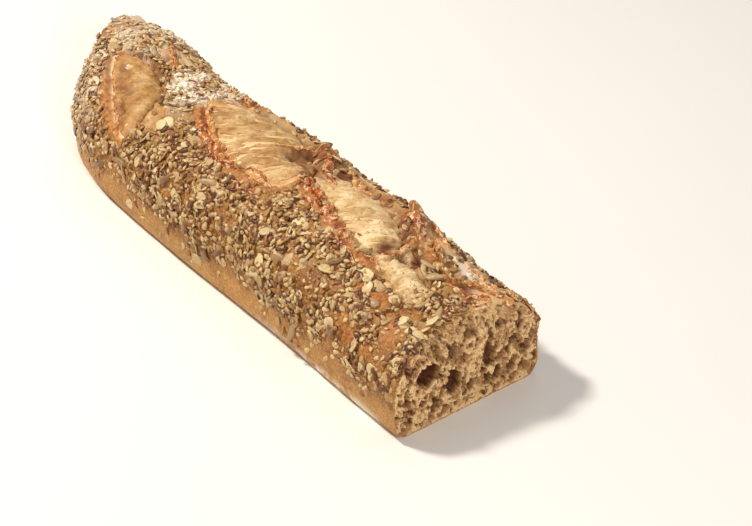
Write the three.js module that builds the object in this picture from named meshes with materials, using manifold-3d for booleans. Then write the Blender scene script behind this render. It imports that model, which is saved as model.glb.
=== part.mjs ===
import * as THREE from 'three';
import { mergeVertices } from 'three/addons/utils/BufferGeometryUtils.js';
import Module from 'manifold-3d';

const wasm = await Module();
wasm.setup();

// A seeded baguette, cut through at one end. Millimetres, +Z up.
// In the loaf's own frame x is 0 at the cut and -length at the rounded tip, y is 0 at the middle
// of the cut, and the loaf lies on z = 0. "Girth" is the way round the skin from the top line,
// in millimetres on a full section, negative on the -Y side, where the seeds lie thickest.

// Driving dimensions
const length = 350;
const width = 89;
const height = 52;
// How the sides close, the top drops and the underside rises towards the tip: each starts at a
// distance from the cut, and its two powers say how suddenly it does so
const sides = { start: 260, powers: [3.8, 1.1] };
const crown = { start: 338, powers: [4, 2] };
const heel = { start: 318, powers: [2, 1.5] };
const bend = { start: 115, power: 3.35, reach: 34.5 }; // how the far part curves off to +Y
const loaf = {
  tipHeight: 34,
  tipRadius: 0.02,
  widestAt: 0.42, // share of the height where the loaf is widest
  heartAt: 0.16, // share of the height from which the girth is measured
  girthRadius: 46,
  crownPower: 2.4, // how square the upper half of a section is
  solePower: 7, // how square the lower half is
  soleDrop: 1.05, // how far the lower half would reach under the flat sole
};
const swell = { at: -153, span: 96.5, power: 4, up: 6, right: 5.5, left: -3.2 };
const waist = { at: -241, span: 22, power: 2, depth: 3.9 };
const wholeMiddle = 6.1; // y of the middle of the whole loaf
const dough = { longWave: 0.9, shortWave: 0.5, flatEdge: 1, calmHeight: 14, calmTip: 30 };

// Each slash has an ear, a raised torn edge, from its far to its near end, bowed out by "bow",
// and opens from the ear towards +girth by "gap" at its widest.
const slashes = [
  { far: [-312, -12], near: [-243, -38], bow: 5, gap: 35, earHeight: 3.2 },
  { far: [-232, 14], near: [-132, -2], bow: 18, gap: 48, earHeight: 3.8 },
  { far: [-142, 8], near: [-56, -9], bow: 4, gap: 34, earHeight: 4.6 },
  { far: [-67, -4], near: [-22, -12], bow: 5, gap: 19, earHeight: 1.4 },
];
const ear = { halfWidth: 4, root: 2.5, raggedness: 0.22, raggedWaves: 23 };
const opening = { sink: 3.4, pillow: 4.6, lip: 1.8, lipHalfSpan: 3.5 };
// Torn strips of crust that stand between the openings
const tornLips = [
  { far: [-304, 22], near: [-262, 14], halfWidth: 5, height: 3.4 },
  { far: [-240, 28], near: [-206, 34], halfWidth: 4, height: 2.6 },
  { far: [-167, 10], near: [-157, 42], halfWidth: 5, height: 3.4 },
  { far: [-142, 20], near: [-98, 29], halfWidth: 4.5, height: 3.4 },
  { far: [-87, 35], near: [-58, 18], halfWidth: 6.5, height: 5.2 },
  { far: [-60, 26], near: [-42, 15], halfWidth: 4, height: 3.4 },
  { far: [-29, 11], near: [-9, 26], halfWidth: 4, height: 2.8 },
];

// Seeds and flakes: half sizes along, across and upwards, and how many there are
const kernel = { half: [4.6, 2.3, 1.6], wanted: 52, spacing: 10, shape: kernelShape };
const flake = { half: [3.8, 3.1, 1.1], wanted: 82, spacing: 8, shape: flakeShape };
const kernelPoint = 0.4; // how much slimmer one end of a kernel is
const flakeFace = 0.8; // width of a flake's upper face, as a share of the flake
const seedLift = 0.25; // share of its half height by which a seed stands above half sunk
const seedBand = { from: -62, to: 62, tipClear: 14 };
const seedDraw = 71;
const triesPerSeed = 60;

// The largest holes of the crumb on the cut: middle y and z, width, height and depth
const crumbHoles = [
  [-24.5, 32, 17, 13, 11],
  [-9, 20, 9, 15, 10],
  [-7, 33, 8, 11, 6],
  [13, 27, 6, 14, 6],
  [-20, 11, 7, 10, 7],
  [18, 13, 6, 9, 7],
  [11.5, 12, 4.5, 8, 5],
  [3, 13, 5, 8, 7],
  [-36, 19, 6, 5, 5],
  [-37, 32, 4.5, 4.5, 4],
  [-34, 12.5, 6, 5, 3],
  [-27, 15, 4, 4, 4],
  [9, 6, 5, 4.5, 4],
  [28, 28, 8, 6, 5],
  [27, 12, 5, 8, 5],
  [4, 43, 9, 5, 4],
  [-16, 4, 4, 4, 4],
];

const grid = { columns: 25, stations: 46, underColumns: 3, tipCrowding: 1.35, pastCut: 4 };
const holeFacets = { sides: 7, rings: 6 };
const hole = { lean: 0.25, mouth: 0.15 };
const spindleFacets = { sides: 6, rings: 9 };
const degree = Math.PI / 180;
const soleCorner = -32 * degree; // direction from the middle of a section to the edge of its sole
const nudge = 2; // step from which the directions of the skin are taken
const routeStep = 0.02; // share of a line from which its heading is taken

// A seeded draw between 0 and 1, the same on every run
function makeDraw(seed) {
  let state = seed;
  return () => {
    state = (state * 1664525 + 1013904223) % 4294967296;
    return state / 4294967296;
  };
}

const towardsTip = (x, start) => THREE.MathUtils.clamp((-x - start) / (length - start), 0, 1);
const bump = (x, { at, span, power }) => Math.exp(-(Math.abs((x - at) / span) ** power));
const closing = (x, { start, powers: [p, q] }) => (1 - towardsTip(x, start) ** p) ** (1 / q);

// The measures of the section at x
function section(x) {
  const full = bump(x, swell);
  const half = (width / 2) * closing(x, sides);
  const top = loaf.tipHeight + (height - loaf.tipHeight) * closing(x, crown) + swell.up * full;
  const under = loaf.tipHeight * (1 - closing(x, heel));
  return {
    middle: bend.reach * towardsTip(x, bend.start) ** bend.power,
    right: Math.max(half + swell.right * full - waist.depth * bump(x, waist), loaf.tipRadius),
    left: Math.max(half + swell.left * full, loaf.tipRadius),
    top: top + loaf.tipRadius,
    under,
    widest: under + loaf.widestAt * (top - under),
    heart: under + loaf.heartAt * (top - under),
  };
}

// Girth of a point of the section
function girthOf(place, y, z) {
  return loaf.girthRadius * Math.atan2(y - place.middle, z - place.heart);
}

// Low, wide unevenness of the dough
function unevenness(x, girth) {
  const long = Math.sin(x / 23 + girth / 31) * Math.cos(x / 41 - girth / 19);
  const short = Math.sin(x / 9.1 - girth / 13 + 2) * Math.sin(x / 15 + girth / 8.3);
  return dough.longWave * long + dough.shortWave * short;
}

// Place of a point relative to a slash: "across" is millimetres from the ear into the opening,
// "open" is the width of the opening there, and "lens" its share of the full width
function inSlash(slash, x, girth) {
  const dx = slash.near[0] - slash.far[0];
  const dg = slash.near[1] - slash.far[1];
  const reach = Math.hypot(dx, dg);
  const px = x - slash.far[0];
  const pg = girth - slash.far[1];
  const along = (px * dx + pg * dg) / reach ** 2;
  const lens = along > 0 && along < 1 ? Math.sqrt(4 * along * (1 - along)) : 0;
  return { across: (pg * dx - px * dg) / reach + slash.bow * lens, open: slash.gap * lens, lens };
}

// How far the slashes push the skin in or out: a sunk opening that swells in its middle, and a
// raised lip beyond it
function slashRelief(x, girth) {
  let relief = 0;
  for (const slash of slashes) {
    const { across, open, lens } = inSlash(slash, x, girth);
    if (open <= 0) continue;
    const share = across / open;
    if (share > 0 && share < 1) {
      relief += lens * (opening.pillow * Math.sin(Math.PI * share) - opening.sink);
    } else if (share >= 1) {
      const fromLip = (across - open - opening.lipHalfSpan) / opening.lipHalfSpan;
      relief += lens * opening.lip * Math.exp(-(fromLip ** 2));
    }
  }
  return relief;
}

// Point of the skin at x, seen from the middle of the section at an angle, 0 at +Y and 90 up
function skinPoint(x, angle) {
  const place = section(x);
  const c = Math.cos(angle);
  const s = Math.sin(angle);
  const side = c > 0 ? place.right : place.left;
  const isUpper = s >= 0;
  const reach = isUpper ? place.top - place.widest : (place.widest - place.under) * loaf.soleDrop;
  const power = isUpper ? loaf.crownPower : loaf.solePower;
  const radius = (Math.abs(c / side) ** power + Math.abs(s / reach) ** power) ** (-1 / power);
  const plainY = place.middle + radius * c;
  const plainZ = place.widest + radius * s;
  const girth = girthOf(place, plainY, plainZ);
  const rise = THREE.MathUtils.smoothstep(plainZ - place.under, dough.flatEdge, dough.calmHeight);
  const full = THREE.MathUtils.smoothstep(length + x, 0, dough.calmTip);
  const relief = rise * full * (unevenness(x, girth) + slashRelief(x, girth));
  const z = Math.max(plainZ + relief * s, place.under);
  return new THREE.Vector3(x, plainY + relief * c, z);
}

// Angle at which the skin has a wanted girth, by halving
function angleOfGirth(x, girth) {
  const place = section(x);
  let low = -80 * degree;
  let high = 260 * degree;
  for (let step = 0; step < 24; step += 1) {
    const angle = (low + high) / 2;
    const point = skinPoint(x, angle);
    if (girthOf(place, point.y, point.z) > girth) low = angle;
    else high = angle;
  }
  return (low + high) / 2;
}

// Point of the skin with its directions: along to the cut, across to +girth, and out
function skinFrame(x, girth) {
  const point = skinPoint(x, angleOfGirth(x, girth));
  const along = skinPoint(x + nudge, angleOfGirth(x + nudge, girth)).sub(point).normalize();
  const across = skinPoint(x, angleOfGirth(x, girth + nudge)).sub(point).normalize();
  const out = new THREE.Vector3().crossVectors(along, across).normalize();
  across.crossVectors(out, along);
  return { point, along, across, out };
}

// Moves every point of a geometry by a function and turns it into a solid
function solidOf(geometry, move) {
  const position = geometry.attributes.position;
  const point = new THREE.Vector3();
  for (let i = 0; i < position.count; i += 1) {
    point.fromBufferAttribute(position, i);
    const moved = move(point);
    position.setXYZ(i, moved.x, moved.y, moved.z);
  }
  geometry.deleteAttribute('normal');
  geometry.deleteAttribute('uv');
  const merged = mergeVertices(geometry);
  return new wasm.Manifold(new wasm.Mesh({
    numProp: 3,
    vertProperties: new Float32Array(merged.attributes.position.array),
    triVerts: new Uint32Array(merged.index.array),
  }));
}

// The dough: a closed cylinder whose rings become the sections, a little longer than the loaf
function makeDough() {
  const upperColumns = grid.columns - grid.underColumns;
  const upperTurn = Math.PI - 2 * soleCorner;
  const ringAngle = (column) => {
    if (column <= upperColumns) return soleCorner + (column / upperColumns) * upperTurn;
    const underShare = (column - upperColumns) / grid.underColumns;
    return soleCorner + upperTurn + underShare * (2 * Math.PI - upperTurn);
  };
  const cylinder = new THREE.CylinderGeometry(1, 1, 1, grid.columns, grid.stations);
  return solidOf(cylinder, (point) => {
    const share = 0.5 - point.y;
    const x = grid.pastCut - (length + grid.pastCut) * (1 - (1 - share) ** grid.tipCrowding);
    const isRing = Math.hypot(point.x, point.z) > 0.5;
    const turn = Math.atan2(point.x, point.z) / (2 * Math.PI) + 1;
    if (isRing) return skinPoint(x, ringAngle(Math.round(turn * grid.columns) % grid.columns));
    const place = section(x);
    return new THREE.Vector3(x, place.middle, place.widest);
  });
}

// A round bar that thins to both ends and lies along a line on the skin, half sunk
function makeSpindle(route, halfWidth, above) {
  const facets = spindleFacets;
  return solidOf(new THREE.SphereGeometry(1, facets.sides, facets.rings), (point) => {
    const share = (1 - point.y) / 2;
    const [x, girth] = route(share);
    const [soonerX, soonerGirth] = route(Math.max(share - routeStep, 0));
    const [laterX, laterGirth] = route(Math.min(share + routeStep, 1));
    const heading = new THREE.Vector2(laterX - soonerX, laterGirth - soonerGirth).normalize();
    const { point: base, along, across, out } = skinFrame(x, girth);
    const aside = across.multiplyScalar(heading.x).addScaledVector(along, -heading.y);
    const torn = 1 + ear.raggedness * Math.sin(share * ear.raggedWaves + x) * Math.sin(Math.PI * share);
    return base
      .clone()
      .addScaledVector(aside, point.x * halfWidth * torn)
      .addScaledVector(out, point.z * (point.z > 0 ? above * torn : ear.root));
  });
}

// The line of a slash's ear, bowed out of the opening, from the far end to the near one
function earRoute(slash) {
  const dx = slash.near[0] - slash.far[0];
  const dg = slash.near[1] - slash.far[1];
  const reach = Math.hypot(dx, dg);
  return (share) => {
    const lens = Math.sqrt(4 * share * (1 - share));
    const across = -lens * slash.bow;
    return [
      slash.far[0] + share * dx - (across * dg) / reach,
      slash.far[1] + share * dg + (across * dx) / reach,
    ];
  };
}

const straightRoute = (strip) => (share) => [
  strip.far[0] + share * (strip.near[0] - strip.far[0]),
  strip.far[1] + share * (strip.near[1] - strip.far[1]),
];

// The seeds lie in the band between the bare sides and the openings, and on the bridges
function holdsSeeds(x, girth, margin) {
  if (girth < seedBand.from || girth > seedBand.to) return false;
  if (x < -length + seedBand.tipClear) return false;
  return slashes.every((slash) => {
    const { across, open } = inSlash(slash, x, girth);
    return open <= 0 || across < -margin - ear.halfWidth || across > open + margin;
  });
}

// Evenly scattered places for one kind of seed, clear of the places already taken
function scatter(kind, taken, draw) {
  const places = [];
  const tries = kind.wanted * triesPerSeed;
  for (let i = 0; i < tries && places.length < kind.wanted; i += 1) {
    const x = -length * draw();
    const girth = seedBand.from + (seedBand.to - seedBand.from) * draw();
    const turn = Math.PI * draw();
    const size = 0.85 + 0.3 * draw();
    if (!holdsSeeds(x, girth, kind.half[1])) continue;
    const hasRoom = taken.every((other) => (
      Math.hypot(other.x - x, other.girth - girth) > (kind.spacing + other.spacing) / 2
    ));
    if (!hasRoom) continue;
    const place = { x, girth, turn, size, spacing: kind.spacing };
    taken.push(place);
    places.push(place);
  }
  return places;
}

// A kernel is a ball of few facets drawn out to a point, a flake a low disc; both lie along x
function kernelShape() {
  const shape = new THREE.SphereGeometry(1, 5, 3).rotateZ(-Math.PI / 2);
  const position = shape.attributes.position;
  for (let i = 0; i < position.count; i += 1) {
    const slim = 1 - kernelPoint * position.getX(i);
    position.setY(i, position.getY(i) * slim);
    position.setZ(i, position.getZ(i) * slim);
  }
  return shape;
}

function flakeShape() {
  return new THREE.CylinderGeometry(flakeFace, 1, 2 * flakeFace, 6).rotateX(Math.PI / 2);
}

// A seed or flake of its kind, turned on the skin and half sunk
function makeSeed(kind, place) {
  const { point: base, along, across, out } = skinFrame(place.x, place.girth);
  const [halfLong, halfAcross, halfUp] = kind.half.map((half) => half * place.size);
  const c = Math.cos(place.turn);
  const s = Math.sin(place.turn);
  return solidOf(kind.shape(), (point) => {
    const long = point.x * halfLong;
    const wide = point.y * halfAcross;
    return base
      .clone()
      .addScaledVector(along, long * c - wide * s)
      .addScaledVector(across, long * s + wide * c)
      .addScaledVector(out, (point.z + seedLift) * halfUp);
  });
}

// A hole of the crumb: a ball sunk in the cut, wider inside than at its mouth
function makeHole([y, z, wide, high, deep], index) {
  const lean = hole.lean * Math.sin(index * 2.4);
  const ball = new THREE.SphereGeometry(1, holeFacets.sides, holeFacets.rings);
  return solidOf(ball, (point) => new THREE.Vector3(
    (point.y - hole.mouth) * deep,
    y + (lean * point.z - point.x) * (wide / 2),
    z + point.z * (high / 2),
  ));
}

// Everything on the far side of the cut, in the loaf's frame
function makeKnifeCut() {
  const room = new THREE.BoxGeometry(height, width * 2, height * 3);
  return solidOf(room, (point) => new THREE.Vector3(point.x + height / 2, point.y, point.z));
}

// Keeps the one main piece, without scraps and without the hollows that fusing has sealed
function mainPiece(solid) {
  return solid.decompose().reduce((best, piece) => (piece.volume() > best.volume() ? piece : best));
}

function makeBaguette() {
  let body = makeDough();
  for (const slash of slashes) {
    body = body.add(makeSpindle(earRoute(slash), ear.halfWidth, slash.earHeight));
  }
  for (const strip of tornLips) {
    body = body.add(makeSpindle(straightRoute(strip), strip.halfWidth, strip.height));
  }
  const draw = makeDraw(seedDraw);
  const taken = [];
  for (const kind of [kernel, flake]) {
    for (const place of scatter(kind, taken, draw)) body = body.add(makeSeed(kind, place));
  }
  body = body.subtract(makeKnifeCut());
  crumbHoles.forEach((measures, index) => {
    body = body.subtract(makeHole(measures, index));
  });
  return mainPiece(body);
}

function meshOf(name, solid, material) {
  const { vertProperties, triVerts } = solid.getMesh();
  const geometry = new THREE.BufferGeometry();
  geometry.setAttribute('position', new THREE.BufferAttribute(vertProperties, 3));
  geometry.setIndex(new THREE.BufferAttribute(triVerts, 1));
  geometry.computeVertexNormals();
  const mesh = new THREE.Mesh(geometry, material);
  mesh.name = name;
  return mesh;
}

const crust = new THREE.MeshStandardMaterial({ color: 0xc9985c, roughness: 0.85, metalness: 0 });
const baguette = new THREE.Group();
const whole = meshOf('baguette', makeBaguette(), crust);
whole.position.set(length / 2, -wholeMiddle, 0);
baguette.add(whole);

export default baguette;
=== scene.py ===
from math import cos, radians, sin

import bmesh
import bpy
import numpy as np
from mathutils import Matrix, Vector, noise


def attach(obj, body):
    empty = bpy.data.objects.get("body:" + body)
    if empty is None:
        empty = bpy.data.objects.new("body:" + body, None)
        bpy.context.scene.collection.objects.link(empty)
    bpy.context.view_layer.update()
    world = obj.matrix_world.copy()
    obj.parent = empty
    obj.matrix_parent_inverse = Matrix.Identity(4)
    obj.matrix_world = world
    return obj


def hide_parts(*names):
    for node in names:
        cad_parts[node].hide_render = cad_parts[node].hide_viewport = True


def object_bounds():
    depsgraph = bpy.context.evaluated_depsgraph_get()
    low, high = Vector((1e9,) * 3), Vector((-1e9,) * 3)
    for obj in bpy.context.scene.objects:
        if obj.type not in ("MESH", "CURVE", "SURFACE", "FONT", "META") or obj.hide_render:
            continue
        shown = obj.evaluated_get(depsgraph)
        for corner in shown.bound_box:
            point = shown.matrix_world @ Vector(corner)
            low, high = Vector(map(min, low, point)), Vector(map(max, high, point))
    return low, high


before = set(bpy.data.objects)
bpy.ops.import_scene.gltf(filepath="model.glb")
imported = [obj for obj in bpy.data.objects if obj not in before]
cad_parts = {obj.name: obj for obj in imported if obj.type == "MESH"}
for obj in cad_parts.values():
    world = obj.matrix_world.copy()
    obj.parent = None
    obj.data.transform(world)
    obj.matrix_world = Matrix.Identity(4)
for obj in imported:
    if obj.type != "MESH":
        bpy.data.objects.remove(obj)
cadLow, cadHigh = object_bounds()
mm = 0.001
print("frame loaded")

# The loaf in its own millimetres: x is 0 at the cut and -length at the tip, y 0 at the middle
# of the cut, z 0 on the table. Girth is the way round the skin from the top line, minus on -Y.
loaf = {
    "length": 350, "width": 89, "height": 52, "tipHeight": 34, "tipRadius": 0.02,
    "sides": (260, 3.8, 1.1), "crown": (338, 4, 2), "heel": (318, 2, 1.5),
    "bend": (115, 3.35, 34.5), "swell": (-153, 96.5, 4), "swellBy": (6, 5.5, -3.2),
    "waist": (-241, 22, 2), "waistDepth": 3.9,
    "widestAt": 0.42, "heartAt": 0.16, "girthRadius": 46,
    "crownPower": 2.4, "solePower": 7, "soleDrop": 1.05, "wholeMiddle": 6.1,
}
toRow = Vector((cadHigh.x, -loaf["wholeMiddle"] * mm, 0))


def rowsOf(words, *rows):
    # a table of like things: each row becomes a dictionary with the words as its keys
    return [dict(zip(words.split(), row)) for row in rows]


# places on the skin are in x and girth
slashes = rowsOf(
    "far near bow gap earHeight gold streak",
    ((-312, -12), (-243, -38), 5, 35, 3.2, 0.95, 0.2),
    ((-232, 14), (-132, -2), 18, 48, 3.8, 0.7, 1.0),
    ((-142, 8), (-56, -9), 4, 34, 4.6, 0.15, 1.0),
    ((-67, -4), (-22, -12), 5, 19, 1.4, 0.1, 0.9),
)
opening = {"sink": 3.4, "pillow": 4.6, "lip": 1.8, "lipHalfSpan": 3.5, "shadedFold": 2.8, "earFoot": 0.45}
tornLips = rowsOf(
    "far near halfWidth height",
    ((-304, 22), (-262, 14), 5, 3.4),
    ((-240, 28), (-206, 34), 4, 2.6),
    ((-167, 10), (-157, 42), 5, 3.4),
    ((-142, 20), (-98, 29), 4.5, 3.4),
    ((-87, 35), (-58, 18), 6.5, 5.2),
    ((-60, 26), (-42, 15), 4, 3.4),
    ((-29, 11), (-9, 26), 4, 2.8),
)
# dents sink the skin; dark is how strongly shade is painted into each as a dark colour, and one has no depth
# at all, only painted shade
dents = rowsOf(
    "at half deep dark",
    ((-291, -13), (9, 3), 2.0, 0.6), ((-277, -19), (10, 3.6), 2.2, 0.75),
    ((-284, -18.5), (11, 4), 0.0, 0.65), ((-263, -28), (5, 3.4), 2.2, 0.9),
    ((-290, 12), (7, 3), 2.6, 0.9), ((-276, 10), (8, 3), 2.6, 0.9),
    ((-262, 4), (8, 2.6), 2.2, 0.8), ((-248, -6), (7, 3), 2.2, 0.9),
    ((-214, 30), (9, 2.6), 1.6, 0.6), ((-166, -12), (3, 2.6), 2.6, 1.0),
    ((-157, 15), (4.5, 6), 3.4, 1.0), ((-152, 27), (3.5, 6), 3.0, 1.0),
    ((-137, 14), (8, 3), 3.2, 1.0), ((-120, 24.5), (8, 2.4), 2.8, 1.0),
    ((-105, 26.5), (6, 1.8), 2.2, 0.8), ((-71, 19), (7, 3.4), 3.4, 0.9),
    ((-57, 5), (1.6, 7), 1.2, 0.9), ((-65, 3.5), (3.4, 6.5), 2.2, 1.2),
    ((-48.5, 10), (6, 4), 3.2, 1.4), ((-37, 12), (4, 4), 2.0, 0.9),
    ((-28, -16), (5, 3), 1.2, 0.5), ((-21, 14), (9, 3), 2.0, 1.0),
    ((-50, 10), (4, 5), 1.6, 1.0), ((-156, 20), (5, 12), 1.4, 0.9),
    ((-147, 14), (9, 4), 1.2, 0.9), ((-130, 24), (12, 3.5), 1.0, 0.9),
)
# patches of the skin, with their centre and half size in x and girth
# the far side is stretched open as well, bare and golden
stretched = [(-150, 44, 60, 10), (-110, 36, 26, 8), (-60, 26, 14, 8), (-12, 19, 15, 10), (-203, 32, 16, 10),
             (-30, 31, 26, 7), (-3, 24, 7, 20), (-285, 21, 16, 7)]
# smooth golden crust: beside the last slash, between it and the ear before it, and in the first slash
glazed = [(-48, -22, 20, 6), (-26, -30, 10, 6), (-66, -9, 5, 6), (-262, -16, 12, 4), (-38, -44, 12, 4)]
# noise on the skin: its height in mm, the width of its blobs in mm, octaves and shift
skinNoise = {
    "wanderX": [(1.5, 9, 2, 3.1), (0.7, 3, 2, 7.7)],
    "wanderG": [(1.6, 8, 2, 11.3), (0.7, 3, 2, 17.9)],
    "ragged": [(1.0, 5, 3, 23.7)],
    "crumbly": [(0.6, 6, 3, 31.1), (0.3, 2.2, 2, 41.9)],
    "bareSide": [(0.5, 17, 2, 47.3)],
}


def smooth(value, low, high):
    t = np.clip((value - low) / (high - low), 0, 1)
    return t * t * (3 - 2 * t)


def towardsTip(x, start):
    return np.clip((-x - start) / (loaf["length"] - start), 0, 1)


def closing(x, start, p, q):
    return (1 - towardsTip(x, start) ** p) ** (1 / q)


def bump(x, at, span, power):
    return np.exp(-np.abs((x - at) / span) ** power)


def patch(x, girth, place, power=4):
    centreX, centreG, halfX, halfG = place
    return bump(x, centreX, halfX, power) * bump(girth, centreG, halfG, power)


def within(places, x, girth):
    return np.max([patch(x, girth, place) for place in places], axis=0)


def section(x):
    up, right, left = (part * bump(x, *loaf["swell"]) for part in loaf["swellBy"])
    half = loaf["width"] / 2 * closing(x, *loaf["sides"])
    tip = loaf["tipHeight"]
    top = tip + (loaf["height"] - tip) * closing(x, *loaf["crown"]) + up
    under = tip * (1 - closing(x, *loaf["heel"]))
    start, power, reach = loaf["bend"]
    return {
        "middle": reach * towardsTip(x, start) ** power,
        "right": np.maximum(half + right - loaf["waistDepth"] * bump(x, *loaf["waist"]), loaf["tipRadius"]),
        "left": np.maximum(half + left, loaf["tipRadius"]),
        "top": top + loaf["tipRadius"],
        "under": under,
        "widest": under + loaf["widestAt"] * (top - under),
        "heart": under + loaf["heartAt"] * (top - under),
    }


def grain(points, scale, octaves=3, shift=0.0):
    # soft noise of about -1..1 whose blobs are as wide as scale, in the unit of the points
    moved = points / scale + shift
    return np.array([noise.fractal(p, 1.0, 2.0, octaves) for p in moved.tolist()])


def grains(points, layers):
    return sum(height * grain(points, *layer) for height, *layer in layers)


def besideLine(line, x, girth):
    # share of the way from the far end of a line to its near end, and the distance beside it
    dx, dg = line["near"][0] - line["far"][0], line["near"][1] - line["far"][1]
    reach = np.hypot(dx, dg)
    px, pg = x - line["far"][0], girth - line["far"][1]
    return (px * dx + pg * dg) / reach ** 2, (pg * dx - px * dg) / reach


def inSlash(slash, x, girth):
    along, beside = besideLine(slash, x, girth)
    lens = np.sqrt(np.clip(4 * along * (1 - along), 0, 1))
    return beside + slash["bow"] * lens, lens


def skinSide(place, angle):
    c, s = np.cos(angle), np.sin(angle)
    side = np.where(c > 0, place["right"], place["left"])
    low = (place["widest"] - place["under"]) * loaf["soleDrop"]
    reach = np.where(s >= 0, place["top"] - place["widest"], low)
    power = np.where(s >= 0, loaf["crownPower"], loaf["solePower"])
    radius = (np.abs(c / side) ** power + np.abs(s / reach) ** power) ** (-1 / power)
    return radius * c, place["widest"] + radius * s


def cutSlash(slash, x, girth, ragged, relief, shown):
    across, lens = inSlash(slash, x, girth)
    gap = np.maximum(slash["gap"] * lens, 1e-3)
    share = across / gap
    inside = smooth(across, -0.6, 1.4) * smooth(gap - across, -0.8, 1.6) * (lens > 0)
    pillow = opening["pillow"] * smooth(gap, 0, 20) * np.sin(np.pi * np.clip(share, 0, 1))
    relief += inside * lens * (pillow - opening["sink"]) * smooth(gap, 0, 8)
    span = opening["lipHalfSpan"]
    relief += (share >= 1) * lens * opening["lip"] * np.exp(-((across - gap - span) / span) ** 2)
    # the foot of the ear: a slow rise from outside and a steep fall into the opening
    crest = np.exp(-((across + 0.6) / np.where(across < -0.6, 3.4, 1.3)) ** 2) * lens ** 0.6
    relief += opening["earFoot"] * crest * slash["earHeight"] * (0.8 + 0.55 * ragged)
    # the far edge has rolled under in folds: a groove, with shade painted into it as a dark colour
    folded = np.exp(-((across - gap + 1.6) / 1.9) ** 2) * lens ** 0.5 * smooth(ragged, -0.5, 0.1)
    relief -= opening["shadedFold"] * folded
    proud = crest * smooth(lens, 0.1, 0.5) * smooth(slash["earHeight"], 1.4, 3.6)
    shown["opening"] = np.maximum(shown["opening"], inside)
    shown["ear"] = np.maximum(shown["ear"], proud)
    shown["shadedFold"] = np.maximum(shown["shadedFold"], folded)


def raiseLip(lip, x, girth, ragged, relief, shown):
    along, beside = besideLine(lip, x, girth)
    along = np.clip(along, 0, 1)
    away = beside / lip["halfWidth"]
    ridge = np.sqrt(np.clip(1 - away ** 2, 0, 1)) * np.sqrt(4 * along * (1 - along))
    relief += 0.6 * ridge * lip["height"] * (0.75 + 0.7 * ragged)
    shown["strip"] = np.maximum(shown["strip"], smooth(ridge, 0.05, 0.5))


def pressDent(dent, x, girth, relief, shown):
    # sinks the skin and paints shade into the dent
    deep = patch(x, girth, dent["at"] + dent["half"], 2)
    relief -= dent["deep"] * deep
    shown["shadedFold"] = np.maximum(shown["shadedFold"], np.minimum(dent["dark"] * deep, 1))


def skin(x, angle):
    # the skin with its relief, and how strongly each finish shows at every point
    place = section(x)
    c, s = np.cos(angle), np.sin(angle)
    y, z = skinSide(place, angle)
    girth = loaf["girthRadius"] * np.arctan2(y, z - place["heart"])
    y = y + place["middle"]
    points = np.stack([x, y, z], 1)

    # low unevenness of the dough, as in the solid
    long = np.sin(x / 23 + girth / 31) * np.cos(x / 41 - girth / 19)
    short = np.sin(x / 9.1 - girth / 13 + 2) * np.sin(x / 15 + girth / 8.3)
    relief = 0.9 * long + 0.5 * short

    # the places on the skin wander a little, so that no torn edge is a clean line
    wanderX = x + grains(points, skinNoise["wanderX"])
    wanderG = girth + grains(points, skinNoise["wanderG"])
    ragged = grains(points, skinNoise["ragged"])
    shown = {name: np.zeros(len(x)) for name in ("opening", "ear", "shadedFold", "strip")}
    for slash in slashes:
        cutSlash(slash, wanderX, wanderG, ragged, relief, shown)
    for lip in tornLips:
        raiseLip(lip, wanderX, wanderG, ragged, relief, shown)
    for dent in dents:
        pressDent(dent, wanderX, wanderG, relief, shown)
    pulled = within(stretched, wanderX, wanderG)
    shown["opening"] = np.maximum(shown["opening"], 0.9 * pulled)
    shown["strip"] *= 1 - 0.7 * pulled
    shown["strip"] = np.maximum(shown["strip"], 0.85 * within(glazed, wanderX, wanderG))
    # the painted shade fades out just behind the cut
    shown["shadedFold"] *= smooth(-x, 0, 6)
    # crumbly small relief, calmer on the bare sides and on the openings
    shown["bare"] = smooth(np.abs(girth), 56, 66)
    calm = 1 - 0.7 * np.maximum(shown["opening"], shown["bare"])
    relief += calm * grains(points, skinNoise["crumbly"])
    relief += shown["bare"] * grains(points, skinNoise["bareSide"])
    # no relief at the sole nor at the very tip
    relief *= smooth(z - place["under"], 1, 14) * smooth(loaf["length"] + x, 0, 30)
    z = np.maximum(z + relief * s, place["under"])
    y = y + relief * c
    return x, y, z, girth, shown


def angleAt(x, girth):
    # the angle of a girth, found by halving
    low, high = np.full(len(x), radians(-80)), np.full(len(x), radians(260))
    place = section(x)
    for _ in range(20):
        middle = (low + high) / 2
        y, z = skinSide(place, middle)
        found = loaf["girthRadius"] * np.arctan2(y, z - place["heart"])
        low, high = np.where(found > girth, middle, low), np.where(found > girth, high, middle)
    return (low + high) / 2


def onSkin(x, girth):
    return np.stack(skin(x, angleAt(x, girth))[:3], 1)


def directions(x, girth, reach=1.2):
    # unit vectors on the skin: towards the cut, round the girth, and outwards
    ahead = onSkin(x + reach, girth) - onSkin(x - reach, girth)
    around = onSkin(x, girth + reach) - onSkin(x, girth - reach)
    ahead /= np.linalg.norm(ahead, axis=1)[:, None]
    out = np.cross(ahead, around)
    out /= np.linalg.norm(out, axis=1)[:, None]
    return ahead, np.cross(out, ahead), out


def rowPoint(x, y, z):
    return Vector((x * mm, y * mm, z * mm)) + toRow


def rowPoints(points):
    return points * mm + np.array(toRow)


def newWhole(*names):
    whole = bmesh.new()
    for name in names:
        whole.verts.layers.float.new(name)
    return whole


def newSheet(across, up):
    # a flat grid, with the place of every vertex as two shares of 0 to 1
    bm = bmesh.new()
    bmesh.ops.create_grid(bm, x_segments=across, y_segments=up, size=0.5)
    return bm, np.array([v.co[:2] for v in bm.verts]) + 0.5


def layOut(bm, points, values):
    # moves the vertices to their places on the loaf and paints the values on them
    layers = {name: bm.verts.layers.float.new(name) for name in values}
    for i, (v, place) in enumerate(zip(bm.verts, rowPoints(points))):
        v.co = place
        for name, layer in layers.items():
            v[layer] = values[name][i]


def openRim(bm):
    return [e for e in bm.edges if e.is_boundary]


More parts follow.
